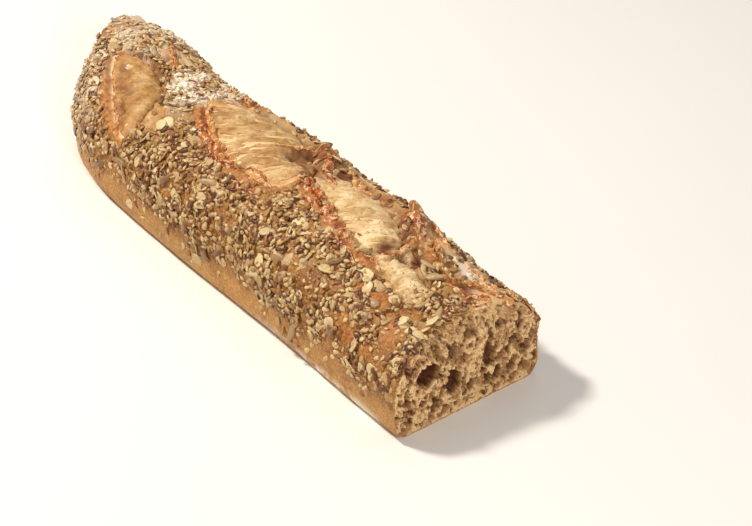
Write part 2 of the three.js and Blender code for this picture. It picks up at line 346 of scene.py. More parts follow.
def growRim(bm):
    grown = bmesh.ops.extrude_edge_only(bm, edges=openRim(bm))["geom"]
    return [g for g in grown if isinstance(g, bmesh.types.BMVert)]


def closeUp(bm, merge=0):
    bmesh.ops.holes_fill(bm, edges=openRim(bm), sides=0)
    if merge:
        bmesh.ops.remove_doubles(bm, verts=bm.verts, dist=merge * mm)
    bmesh.ops.recalc_face_normals(bm, faces=bm.faces)


def joinTo(whole, bm):
    part = bpy.data.meshes.new("part")
    bm.to_mesh(part)
    bm.free()
    whole.from_mesh(part)
    bpy.data.meshes.remove(part)


def addPiece(name, mesh, material):
    mesh.materials.append(material)
    mesh.shade_smooth()
    piece = bpy.data.objects.new(name, mesh)
    bpy.context.scene.collection.objects.link(piece)
    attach(piece, "root")
    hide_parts("baguette")


def finished(name, bm, material, sharp=75):
    mesh = bpy.data.meshes.new(name)
    bm.to_mesh(mesh)
    bm.free()
    addPiece(name, mesh, material)
    mesh.set_sharp_from_angle(angle=radians(sharp))
    print(name, len(mesh.polygons))


def hexColour(value):
    parts = [int(value[i:i + 2], 16) / 255 for i in (1, 3, 5)]
    return tuple(p / 12.92 if p <= 0.04045 else ((p + 0.055) / 1.055) ** 2.4 for p in parts) + (1.0,)


def addNode(tree, kind, settings=None, inputs=None):
    node = tree.nodes.new(kind)
    for key, value in (settings or {}).items():
        setattr(node, key, value)
    for key, value in (inputs or {}).items():
        if isinstance(value, bpy.types.NodeSocket):
            tree.links.new(value, node.inputs[key])
        else:
            node.inputs[key].default_value = value
    return node


def newMaterial(name, roughness, softness=None):
    material = bpy.data.materials.new(name)
    material.use_nodes = True
    settings = {"Roughness": roughness, "IOR": 1.45}
    if softness:  # how much of the light goes in, and how deep: it comes out warmer
        settings["Subsurface Weight"], settings["Subsurface Scale"] = softness
        settings["Subsurface Radius"] = (1.0, 0.55, 0.25)
    for socket, value in settings.items():
        material.node_tree.nodes["Principled BSDF"].inputs[socket].default_value = value
    return material, material.node_tree


def spotted(tree, scale, low, high, detail=4):
    # noise on object coordinates, pulled apart between low and high; scale is blobs per metre
    place = addNode(tree, "ShaderNodeTexCoord").outputs["Object"]
    settings = {"Vector": place, "Scale": scale, "Detail": detail, "Roughness": 0.6}
    fac = addNode(tree, "ShaderNodeTexNoise", inputs=settings).outputs["Fac"]
    limits = {"Value": fac, "From Min": low, "From Max": high}
    return addNode(tree, "ShaderNodeMapRange", inputs=limits).outputs[0]


def coats(tree, base, *layers):
    # lays colours over a base in turn. A share is a number, a pattern or the name of a value that is
    # painted on the piece; a colour is a hex value, a grey as a number or a pattern.
    for share, colour in layers:
        if isinstance(share, str):
            share = addNode(tree, "ShaderNodeAttribute", {"attribute_name": share}).outputs["Fac"]
        below, above = (hexColour(c) if isinstance(c, str) else (c, c, c, 1) if isinstance(c, float) else c
                        for c in (base, colour))
        inputs = {0: share, 6: below, 7: above}
        base = addNode(tree, "ShaderNodeMix", {"data_type": "RGBA"}, inputs).outputs[2]
    return base


def paintedTimes(tree, name, pattern, clamp=False):
    # a value that is painted on the piece, broken up by a pattern
    value = addNode(tree, "ShaderNodeAttribute", {"attribute_name": name}).outputs["Fac"]
    settings = {"operation": "MULTIPLY", "use_clamp": clamp}
    return addNode(tree, "ShaderNodeMath", settings, {0: value, 1: pattern}).outputs[0]


def finishMaterial(material, base, height, strength, distance):
    tree = material.node_tree
    shader = tree.nodes["Principled BSDF"]
    settings = {"Height": height, "Strength": strength, "Distance": distance}
    relief = addNode(tree, "ShaderNodeBump", inputs=settings).outputs[0]
    tree.links.new(base, shader.inputs["Base Color"])
    tree.links.new(relief, shader.inputs["Normal"])
    return material


def crustMaterial():
    # wheat crust, baked on a stone: matt golden brown, browner where it is thin or proud, dusted with flour
    material, tree = newMaterial("stone baked wheat crust", 0.58)
    blotch = spotted(tree, 60, 0.34, 0.66)      # browning in patches 15 to 20 mm wide
    fleck = spotted(tree, 450, 0.38, 0.62)      # bran and blisters 2 mm wide
    pore = spotted(tree, 1500, 0.3, 0.7, 3)     # flour grain, 0.7 mm, as coarse as it needs to show
    speck = spotted(tree, 900, 0.5, 0.66, 3)    # light specks of bran, 1 mm
    base = coats(
        tree, coats(tree, "#784512", (blotch, "#b67c36")),
        ("bare", coats(tree, "#a97434", (blotch, "#cd9850"))),
        (coats(tree, 0.35, (fleck, 0.0)), "#7d4818"),
        (coats(tree, 0.0, (speck, 0.55)), "#d9ae70"),
        ("opening", coats(tree, "#cb9a5c", (blotch, "#eed2a0"))),
        ("ear", coats(tree, "#8e4a18", (fleck, "#cf8c44"))),
        ("strip", coats(tree, "#944e1c", (fleck, "#c48240"))),
        # painted shade in the folds and dents
        ("shadedFold", "#5a2a0e"),
        (paintedTimes(tree, "flour", coats(tree, 0.5, (pore, 1.4)), True), "#f8eedc"))
    return finishMaterial(material, base, coats(tree, fleck, (0.4, pore)), 0.45, 0.0005)


def doughMaterial():
    # the stretched inside of the dough, dried in the oven: pale and silky, with streaks along the pull that
    # are partly golden and partly painted shade, and painted shade in its folds
    material, tree = newMaterial("oven dried open dough", 0.5, (0.12, 0.0015))
    cloud = spotted(tree, 150, 0.38, 0.6)       # tint in patches 6 mm wide
    bran = spotted(tree, 700, 0.56, 0.66, 2)    # brown flecks of bran, 1.4 mm
    pore = spotted(tree, 1700, 0.3, 0.7, 3)     # dry skin, 0.6 mm
    base = coats(
        tree, coats(tree, "#d3ae74", (cloud, "#f4deb2")),
        ("gold", coats(tree, "#9a6a34", (cloud, "#c8985a"))),
        # golden streaks, and painted shade in the grooves between the strands and in the cracks
        ("streak", "#9c7036"),
        ("toast", coats(tree, "#8f4d1f", (cloud, "#cb8440"))),
        (bran, "#b98a50"),
        # painted shade in the folds and dents
        ("shadedFold", coats(tree, "#642e0e", (cloud, "#925224"))))
    return finishMaterial(material, base, pore, 0.3, 0.0004)


def tornMaterial():
    # torn edges of crust, the parts nearest to the heat: brittle, red brown to orange, with rims painted
    # lighter on the crests, partly golden crust and partly painted highlight
    material, tree = newMaterial("scorched torn crust", 0.42)
    cloud = spotted(tree, 130, 0.38, 0.62)      # browning in patches 8 mm wide
    fleck = spotted(tree, 700, 0.4, 0.6)        # blisters, 1.4 mm
    scale = spotted(tree, 420, 0.51, 0.6, 3)    # light scales of flour and torn skin, 2 mm
    base = coats(
        tree, coats(tree, "#8c3412", (cloud, "#d47434")),
        ("honey", coats(tree, "#c07a38", (fleck, "#e0b070"))),
        ("burnt", "#4a1a0a"),
        (coats(tree, 0.0, ("scales", scale)), "#f6d2a8"),
        # crests painted lighter: golden crust and painted highlight
        (paintedTimes(tree, "rim", fleck), "#e6ab62"))
    return finishMaterial(material, base, fleck, 0.5, 0.0006)


def crumbMaterial():
    # moist wholemeal crumb, cut and partly torn: painted highlight on its proud ridges, painted shade inside
    # the holes
    material, tree = newMaterial("open wholemeal crumb", 0.5, (0.15, 0.0012))
    fine = spotted(tree, 420, 0.36, 0.64)       # walls of the crumb, 2 mm
    pore = spotted(tree, 1300, 0.38, 0.6, 2)    # pores under 1 mm
    base = coats(
        tree, coats(tree, "#b57c40", (fine, "#f6cd94")),
        # painted highlight where the crumb stands proud
        ("ridge", "#ffdba4"),
        (coats(tree, 0.3, (pore, 0.0)), "#9a6532"),
        # painted shade in the holes and pores
        ("holeShade", "#56280a"))
    return finishMaterial(material, base, pore, 0.5, 0.0005)


def seedMaterial(name, dark, light, roughness):
    # a dry seed skin: every seed has its own tone between dark and light, and is a little mottled
    material, tree = newMaterial(name.replace("_", " "), roughness)
    mottle = spotted(tree, 900, 0.3, 0.7, 3)    # spots, 1 mm
    base = coats(tree, dark, ("tone", light))
    base = coats(tree, coats(tree, base, (0.35, "#6a4020")), (mottle, base), ("flour", "#fff3dc"))
    return finishMaterial(material, base, mottle, 0.25, 0.0003)


crust = {"stations": 366, "columns": 250, "underColumns": 16, "soleCorner": -32, "crowding": 1.2,
         "thickness": 0.9, "pocket": 14.5, "tornBack": 5.5, "tornReach": 14, "merge": 0.05}


def tornBack(girth):
    # how far the top crust has broken back from the cut
    line = np.stack([girth, 0 * girth, 0 * girth], 1)
    ragged = grains(line, [(1.0, 7, 4, 91.7), (0.35, 1.5, 2, 95.1)])
    band = smooth(girth, -46, -20) * smooth(46 - girth, 0, 14) * (1 - 0.5 * smooth(girth, -4, 12))
    top = np.clip(band * crust["tornBack"] * (0.75 + 1.1 * ragged), 0, None)
    return top + 0.3 * np.clip(0.6 + 1.6 * ragged, 0, None)


def flourAt(points, x, girth):
    # flour lies between the first two slashes and beside the last, along the hem near the cut, and on the tip
    dust = grains(points, [(1.0, 14, 3, 55.5), (0.5, 2.5, 2, 66.6)])
    bridge = 3.2 * patch(x, girth, (-247, 13, 17, 17), 2) + 0.9 * patch(x, girth, (-25, 27, 22, 8), 2)
    hem = smooth(-girth, 71, 77) * bump(x, -60, 50, 4)
    tip = 0.55 * smooth(-x, 255, 325) * (1 - 0.7 * smooth(np.abs(girth), 48, 62))
    spread = smooth(dust, -0.3, 0.4) * (bridge + hem) + tip * smooth(dust, -0.6, 0.6)
    return np.clip(spread, 0, 0.92)


def makeCrust():
    bm, share = newSheet(crust["stations"], crust["columns"])
    # the columns are narrow over the top and wide over the sole
    column = share[:, 1] * crust["columns"]
    upper = crust["columns"] - crust["underColumns"]
    upperTurn = 180 - 2 * crust["soleCorner"]
    overTop = crust["soleCorner"] + column / upper * upperTurn
    overSole = crust["soleCorner"] + upperTurn + (column - upper) / crust["underColumns"] * (360 - upperTurn)
    angle = np.radians(np.where(column <= upper, overTop, overSole))
    x = -loaf["length"] * (1 - share[:, 0] ** crust["crowding"])
    x = x - tornBack(skin(x, angle)[3]) * np.exp(x / crust["tornReach"])
    x, y, z, girth, shown = skin(x, angle)
    points = np.stack([x, y, z], 1)
    shown["flour"] = flourAt(points, x, girth) * (1 - np.maximum(shown["ear"], shown["strip"]))
    layOut(bm, points, shown)
    bmesh.ops.remove_doubles(bm, verts=bm.verts, dist=crust["merge"] * mm)
    # the crust turns in at the cut and closes behind the crumb
    middle = rowPoint(0, 0, loaf["height"] * 0.45)
    for inward, back in ((crust["thickness"], 0), (0, crust["pocket"])):
        for v in growRim(bm):
            heading = middle - v.co
            heading.x = 0
            v.co += heading.normalized() * inward * mm
            if back:
                v.co.x = toRow.x - back * mm
    closeUp(bm)
    finished("crust", bm, crustMaterial())


makeCrust()

dough = {"step": 0.4, "over": 1.1, "proud": 0.35, "pull": (0.62, 0.785), "lineGap": 1.25, "lineLength": 26,
         "relief": 0.35, "wide": 0.9, "lumps": 0.45, "pits": 1.2, "sunkEdge": 1.6, "skirt": 3, "merge": 0.02}
# the dough is open at four more places: between the second slash and the third, where the first slash
# is torn wider towards the cut, and on both sides of the fourth
tears = rowsOf(
    "far near bow gap gold streak",
    ((-168, 5), (-112, 6), 4, 15, 0.35, 0.9),
    ((-276, 4), (-220, -31), 8, 17, 0.9, 0.2),
    ((-61, 9), (-28, -7), 8, 17, 0.0, 0.9),
    ((-60, -9), (-24, -16), 4.5, 10, 0.35, 0.7),
)


def drawnOut(quick, slow, number, width, length, octaves, shift):
    # noise that is long in the direction of the pull
    return grain(np.stack([quick / width, slow / length, 0 * slow + number], 1), 1, octaves, shift)


def doughSheet(number, slash):
    far, near = np.array(slash["far"]), np.array(slash["near"])
    reach = np.hypot(*(near - far))
    bm, share = newSheet(int(reach / dough["step"]), int(slash["gap"] / dough["step"]))
    along = 0.012 + 0.976 * share[:, 0]
    lens = np.sqrt(4 * along * (1 - along))
    gap = slash["gap"] * lens
    across = -dough["over"] + share[:, 1] * (gap + 2 * dough["over"])
    beside = across - slash["bow"] * lens
    headX, headG = (near - far) / reach
    x = far[0] + along * reach * headX - beside * headG
    girth = far[1] + along * reach * headG + beside * headX
    px, py, pz, _, shown = skin(x, angleAt(x, girth))
    points = np.stack([px, py, pz], 1)

    # the dough is drawn out in strands that run slantwise over the opening
    pullX, pullG = dough["pull"]
    slow = x * pullX + girth * pullG
    quick = x * pullG - girth * pullX + 2.6 * grain(points, 22, 2, 4.4) + 0.007 * (slow - slow.mean()) ** 2
    strands = drawnOut(quick, slow, number, dough["lineGap"], dough["lineLength"], 3, 9.9)
    cracks = drawnOut(quick, slow, number, 2.1, 8.5, 2, 81.5)
    wide = drawnOut(quick, slow, number, 4.5, 22, 2, 1.9)
    inner = smooth(across, -0.2, 2.5) * smooth(gap - across, -0.2, 2.0)
    pits = smooth(cracks, 0.26, 0.5) * slash["streak"]
    height = dough["proud"] + slash["streak"] * (dough["relief"] * strands + dough["wide"] * wide)
    height = height + dough["lumps"] * grain(points, 5, 3, 12.1) - dough["pits"] * pits
    height = height * inner - dough["sunkEdge"] * (1 - inner)
    points = points + directions(x, girth)[2] * height[:, None]

    # it is toasted along its edges and at its ends
    narrow = min(1, slash["gap"] / 34)
    edge = np.exp(-np.clip(across - 0.4, 0, None) / 2.2 / narrow)
    edge += np.exp(-np.clip(gap - across - 0.4, 0, None) / 2.6 / narrow)
    toast = edge * (0.6 + 0.9 * grain(points, 4, 3, 71.2))
    toast += 0.8 * (1 - smooth(lens, 0.35, 0.75)) * (0.4 + grain(points, 6, 3, 75.2))
    # the streak colour lies in the grooves between the strands and in the cracks: golden streaks and painted
    # shade
    streak = smooth(-strands, 0.1, 0.6) * 0.35 * slash["streak"] + pits * 0.9
    layOut(bm, points, {
        "gold": np.clip(slash["gold"] + 0.5 * grain(points, 11, 3, 61.2) + 0.4 * edge, 0, 1),
        "streak": np.clip(streak, 0, 1),
        "toast": np.clip(toast, 0, 1) * narrow ** 0.8,
        "shadedFold": shown["shadedFold"],
    })
    # a skirt goes down into the loaf, with a floor under it
    for v in growRim(bm):
        v.co += Vector((0, 0, -1)) * dough["skirt"] * mm
    closeUp(bm, dough["merge"])
    return bm


def makeDough():
    whole = newWhole("gold", "streak", "toast", "shadedFold")
    for number, slash in enumerate(slashes + tears):
        joinTo(whole, doughSheet(number, slash))
    finished("opened_dough", whole, doughMaterial())


makeDough()

# turns are the parts of the way round a torn edge, each with its start and its share: up the outside,
# over the crest, down the inside and back below the skin
torn = {"step": 0.38, "round": 26, "root": 1.6, "turns": ((0, 0.45), (0.45, 0.12), (0.57, 0.3), (0.87, 0.13)),
        "crag": 0.42, "grit": 0.3, "jitter": 1.1, "behindCut": 0.2, "merge": 0.03}
# the line of each torn edge over the skin, half its width, its height and how far it leans over; then how
# golden and burnt it is, how much lighter its crest is painted (golden crust and painted highlight), how
# craggy, how thick its wall is and how many light scales it has
tornUsual = {"gilt": 0.4, "crag": 1.0, "wall": 0.6, "scales": 1.0}
tornEdges = [{**tornUsual, **edge} for edge in rowsOf(
    "line wide high lean honey burnt gilt crag wall scales",
    # the ears along the slashes
    ([(-304, -16), (-292, -22), (-282, -25), (-272, -31), (-260, -34), (-251, -40)],
     3.6, 1.1, 0.4, 0.45, 0.15, -0.5, 1.5, 1.8, 0.25),
    ([(-230, 11), (-222, 4), (-214, -1), (-202, -6), (-192, -10), (-180, -13), (-169, -13.5)],
     5.0, 3.4, 1.6, 0.2, 0.1, 2.0, 1.0, 1.9),
    ([(-216, -4), (-204, -10), (-192, -14), (-180, -18), (-167, -17)], 4.2, 1.6, 1.0, 0.0, 0.15),
    ([(-186, -14), (-176, -17), (-165, -15)], 3.4, 2.4, 1.4, 0.1, 0.1),
    ([(-163, -11), (-155, -8), (-144, -9)], 3.0, 2.0, 1.2, 0.5, 0.3, 1.0),
    ([(-166, -19), (-152, -21), (-138, -19)], 3.4, 1.3, 1.0, 0.25, 0.15),
    ([(-154, -14), (-147, -15), (-139, -11)], 2.4, 1.3, 1.0, 0.5, 0.2),
    ([(-140, 6), (-134, 5.5), (-124, 3), (-112, 1), (-101, -3)],
     9.0, 5.4, 1.6, 0.0, 0.35, 0.0, 1.0, 1.4),
    ([(-110, -1.5), (-101, -4), (-92, -7), (-83, -9), (-73, -11.5)],
     8.5, 4.8, 1.8, 0.1, 0.0, 0.7, 1.0, 1.6),
    ([(-133, -2), (-122, -4), (-110, -7)], 3.0, 2.0, 1.0, 0.3, 0.2, 0.6),
    ([(-88, -14), (-78, -15), (-67, -14.5)], 3.4, 2.0, 1.2, 0.0, 0.9, 0.0),
    ([(-92, -5), (-86, -2), (-80, -1)], 1.6, 1.2, 0.8, 0.4, 0.4),
    # flaps, folds and shreds on the far side
    ([(-302, 24), (-288, 19), (-268, 14)], 6.0, 2.6, -2.4, 0.35, 0.35),
    ([(-240, 28), (-226, 30), (-206, 34)], 3.4, 2.4, -1.8, 0.3, 0.35),
    ([(-169, 8), (-165, 16), (-162, 28), (-159, 42)], 5.0, 3.0, -2.2, 0.7, 0.0, 1.0, 0.7),
    ([(-154, 22), (-149, 30), (-146, 41)], 3.4, 2.8, -1.6, 0.2, 0.3, 0.4, 0.8),
    ([(-148, 31), (-142, 25), (-134, 19), (-121, 15)], 4.4, 3.6, -2.2, 0.0, 0.15, 0.4, 0.8),
    ([(-140, 33), (-126, 29), (-112, 28), (-98, 30)], 3.6, 2.4, -1.8, 0.8, 0.1, 0.9, 0.6),
    ([(-92, 36), (-84, 31), (-74, 26), (-60, 20)], 6.5, 6.6, -2.4, 0.15, 0.35, 0.3, 0.25),
    ([(-86, 41), (-72, 36), (-54, 32)], 6.0, 3.2, -1.4, 0.3, 0.15, 0.4, 0.4),
    ([(-61, 28), (-55, 24), (-46, 20), (-35, 16)], 4.6, 4.8, -2.4, 0.4, 0.1, 1.0, 0.7),
    ([(-37, 14), (-28, 17), (-18, 21), (-8, 24)], 4.4, 3.8, -2.6, 0.35, 0.1, 1.0, 0.8),
    ([(-30, 8), (-21, 12), (-13, 17)], 2.6, 1.8, -0.8, 0.0, 0.3, 0.4, 0.7),
    ([(-42, 30), (-26, 30), (-6, 34)], 3.4, 2.0, -1.2, 0.8, 0.1, 0.4, 0.6),
    ([(-13, 4), (-10, 9), (-10, 14), (-7, 19)], 3.0, 2.4, 1.2, 0.2, 0.1),
    ([(-8.5, 12), (-8, 15), (-6, 17), (-4, 15), (-3.5, 12), (-4, 9), (-6, 7), (-8, 9), (-8.5, 12)],
     1.5, 1.9, 0.4, 0.4, 0.0, 1.6, 0.4),
    ([(-16, 38), (-9, 35), (-2, 32)], 4.2, 3.4, -1.4, 0.4, 0.1, 1.0, 0.7),
    ([(-14, 40), (-8, 44), (-1, 49)], 5.0, 3.6, -1.6, 0.35, 0.15, 1.0, 0.8),
    ([(-9, 48), (-4, 50), (-0.8, 56)], 4.0, 2.4, -0.8, 0.4, 0.25),
    ([(-10, 24), (-6, 27), (-1, 28)], 3.0, 1.8, 0.8, 1.0, 0.0, 0.4, 0.5),
    ([(-26, 24), (-18, 27), (-10, 29)], 3.0, 1.6, -1.0, 1.0, 0.0, 0.4, 0.5),
    ([(-61, -8), (-60.5, -1), (-60, 6), (-58, 12), (-56, 19)], 2.2, 2.0, 0.8, 0.6, 0.05, 1.6, 0.5),
    ([(-66, -11), (-62, -9), (-57, -10)], 2.2, 1.2, 0.8, 0.2, 0.1, 0.8, 0.7),
    ([(-27, -15), (-23, -8), (-20, -4)], 1.8, 1.2, 0.6, 0.6, 0.2),
)]


def crossSection(turn, wide, high, lean, wall, side):
    # distance beside the line, and height over the skin
    root = torn["root"]
    outer, over, inner, below = (np.clip((turn - start) / part, 0, 1) for start, part in torn["turns"])
    beside = (-wide * side) * (1 - outer ** 0.8) + lean * outer ** 1.5
    height = -root + (high + root) * (0.5 * outer + 0.5 * outer ** 2.2)
    beside = beside + side * wall * over
    height = height - 0.35 * wall * over
    beside = beside - (lean + side * (wall - 1.2 * wide / 3)) * inner * 0.8
    height = height - (height + root) * inner
    return beside * (1 - below) + (-wide * side) * below, height * (1 - below) - root * below


def tornSheet(number, edge):
    line = np.array(edge["line"], float)
    pace = np.concatenate([[0], np.cumsum(np.hypot(*np.diff(line, axis=0).T))])
    bm, share = newSheet(int(pace[-1] / torn["step"]), torn["round"])
    walked, turn = share[:, 0] * pace[-1], share[:, 1]
    centre, ahead, behind = (np.stack([np.interp(walked + step, pace, line[:, i]) for i in (0, 1)], 1)
                             for step in (0, 1, -1))
    steer = ahead - behind
    steer /= np.linalg.norm(steer, axis=1)[:, None]
    taper = np.clip(4 * share[:, 0] * (1 - share[:, 0]), 0, 1) ** 0.4

    # the crest is broken: its height and place jump about along the edge
    path = np.stack([walked, 0 * walked + 31 * number, 0 * walked], 1)
    jag, jitter, fray = grain(path, 4.5, 3, 2.7), grain(path, 6, 3, 6.1), grain(path, 1.6, 2, 8.3)
    high = edge["high"] * taper * np.clip(0.85 + edge["crag"] * (0.6 * jag + 0.5 * fray), 0.2, 1.6)
    lean = edge["lean"] * taper * (0.8 + 0.8 * jitter)
    wide, wall = edge["wide"] * taper, edge["wall"] * taper
    beside, height = crossSection(turn, wide, high, lean, wall, np.sign(edge["lean"]))
    beside = beside + torn["jitter"] * jitter
    x, girth = centre[:, 0] - steer[:, 1] * beside, centre[:, 1] + steer[:, 0] * beside
    out = directions(x, girth)[2]
    points = onSkin(x, girth) + out * height[:, None]
    proud = taper * (height > -torn["root"] * 0.9)
    crags = torn["crag"] * np.stack([grain(points, 3.6, 3, shift) for shift in (13.1, 17.3, 19.7)], 1)
    points = points + edge["crag"] * proud[:, None] * crags
    points = points + out * (torn["grit"] * grain(points, 1.3, 2, 33.1) * proud)[:, None]
    points[:, 0] = np.minimum(points[:, 0], -torn["behindCut"])

    crest = np.clip(height / np.maximum(high, 0.1), 0, 1)
    honey = edge["honey"] + grain(points, 7, 3, 21.4) + 0.45 * smooth(turn, 0.42, 0.6)
    burnt = np.clip(edge["burnt"] + 1.2 * grain(points, 3.5, 3, 26.4) - 0.1, 0, 0.9)
    # the crest is painted lighter, partly golden crust and partly painted highlight, and is less burnt
    rim = crest ** 2.5 * (edge["gilt"] + 1.2 * grain(points, 2.2, 2, 29.8))
    layOut(bm, points, {
        "honey": np.clip(honey, 0, 1),
        "burnt": burnt * (1 - 0.5 * crest ** 3),
        "rim": np.clip(rim, 0, 1),
        "scales": np.full(len(points), edge["scales"]),
    })
    bmesh.ops.remove_doubles(bm, verts=bm.verts, dist=torn["merge"] * mm)
    closeUp(bm)
    return bm


def makeTornEdges():
    whole = newWhole("honey", "burnt", "rim", "scales")
    for number, edge in enumerate(tornEdges):
        joinTo(whole, tornSheet(number, edge))
    finished("torn_edges", whole, tornMaterial())


makeTornEdges()

# holes have their middle y and z, width, height and depth. Sizes are the kinds of smaller holes: how
# many, the smallest and the largest, and how deep they are for their size. Above bowlSize a hole is a bowl.
crumb = {
    "wide": 380, "high": 224, "edge": 0.65, "back": 14, "bowlSize": 2.4, "poreDepth": 0.8,
    "holes": [(-23.5, 29, 15, 12, 9), (-8, 18, 9, 16, 8), (-8.5, 34.5, 8, 9, 4), (14, 24, 7, 13, 4.5),
              (-19.5, 10, 6.5, 9, 5), (18.5, 11, 5.5, 9, 7), (13, 10.5, 5, 7.5, 6), (2.5, 12, 5, 8.5, 7),
              (-35, 30, 4.5, 4.5, 4), (-36, 18, 6, 3.5, 4), (-34, 12.5, 6, 5, 2.5), (-27, 14, 3.5, 3.5, 3),
              (10.5, 26, 3, 5, 3), (-2, 30, 4, 6, 3), (29, 27, 8, 7, 5), (28, 12, 5.5, 9, 5),
              (37, 20, 4, 6, 4), (35, 8, 6, 5, 4), (-16, 4, 3.5, 3, 3), (-6, 5.5, 4, 3, 2.5),
              (3, 41, 9, 5, 3), (21, 38, 7, 5, 3)],
    "sizes": [(190, 2.4, 5.2, 0.6), (1000, 1.1, 2.4, 0.85), (2600, 0.6, 1.1, 0.9)],
}


def crumbHoles():
    draw = np.random.default_rng(12)
    holes = list(crumb["holes"])
    for count, small, large, deep in crumb["sizes"]:
        for _ in range(count):
            size = small + (large - small) * draw.random() ** 2.0
            isBowl = size > crumb["bowlSize"]
            stretch = 0.75 + (1.3 if isBowl else 0.7) * draw.random()
            y, z = draw.uniform(-43, 43), draw.uniform(2, 50)
            # the bowls are shallower near the top, where the crumb is torn
            fewer = 1 - 0.55 * smooth(z + 0.15 * y, 30, 40) * isBowl
            holes.append((y, z, size, size * stretch, size * deep * fewer * (0.5 + 0.6 * draw.random())))
    return holes


def crumbDepth(y, z):
    # how far the crumb is sunk behind the cut, in mm: by its bowls and by its pores
    points = np.stack([0 * y, y, z], 1)
    warpY = y + grains(points, [(1.1, 4.5, 3, 2.2), (0.3, 1.1, 2, 3.2)])
    warpZ = z + grains(points, [(1.1, 4.5, 3, 8.8), (0.3, 1.1, 2, 9.2)])
    bowls, pores = np.zeros(len(y)), np.zeros(len(y))
    for holeY, holeZ, wide, high, deep in crumbHoles():
        near = (np.abs(y - holeY) < wide) & (np.abs(z - holeZ) < high)
        away = ((warpY[near] - holeY) / (wide / 2)) ** 2 + ((warpZ[near] - holeZ) / (high / 2)) ** 2
        layer = bowls if wide > crumb["bowlSize"] else pores
        layer[near] = np.maximum(layer[near], deep * np.clip(1 - away ** 1.3, 0, 1) ** 0.7)
    return bowls, crumb["poreDepth"] * pores


def makeCrumb():
    bm, share = newSheet(crumb["wide"], crumb["high"])
    grid = 2 * share - 1
    place = section(np.zeros(len(grid)))
    midZ = place["widest"]
    angle = np.arctan2(grid[:, 1] * midZ, grid[:, 0] * place["left"])
    outwards = np.max(np.abs(grid), 1)
    justBehind = np.full(len(grid), -0.01)
    back = tornBack(skin(justBehind, angle)[3])
    _, rimY, rimZ, _, _ = skin(-back, angle)
    turn = np.arctan2(rimZ - midZ, rimY)
    radius = np.hypot(rimY, rimZ - midZ) - crumb["edge"]
    y = outwards * radius * np.cos(turn)
    z = midZ + outwards * radius * np.sin(turn)
    bowls, pores = crumbDepth(y, z)
    depth = bowls + pores
    points = np.stack([0 * y, y, z], 1)

    # near the top the crumb is torn, not cut: it slopes back to the broken crust in shreds
    slope = back * smooth(outwards, 0.35, 1.0) ** 1.2
    tornShare = np.clip(1.3 * slope / crust["tornBack"], 0, 1)
    shreds = grain(np.stack([0 * y, (y + z) / 3.2, (z - 0.4 * y) / 1.0], 1), 1, 4, 19.9)
    coarse = grains(points, [(0.4, 3, 3, 14.4), (0.35, 0.8, 2, 15.4)])
    rough = 0.22 + coarse + tornShare * (0.6 + 1.5 * shreds)
    sunk = slope + smooth(1 - outwards, 0, 0.02) * (depth + np.clip(rough, 0, None))
    sunk = np.clip(sunk, 0.05, crumb["back"] - 0.8)
    # painted shade: darker in the deeper bowls and pores, and between the torn shreds
    holeShade = np.clip((bowls - 0.2) / 4.2, 0, 1) ** 0.9 + 0.8 * smooth(pores, 0.15, 1.2)
    holeShade = holeShade + 0.5 * tornShare * smooth(shreds, 0.1, 0.5)
    # painted highlight where the crumb stands proud and out of the holes, also on the proud torn shreds
    ridge = smooth(0.45 - coarse - 0.6 * depth, 0.0, 0.5) + tornShare * smooth(-shreds, -0.2, 0.4) * 0.8
    layOut(bm, np.stack([-sunk, y, z], 1), {"holeShade": np.clip(holeShade, 0, 1), "ridge": np.clip(ridge, 0, 1)})
    for v in growRim(bm):
        v.co.x = toRow.x - crumb["back"] * mm
    closeUp(bm)
    finished("crumb", bm, crumbMaterial())


makeCrumb()

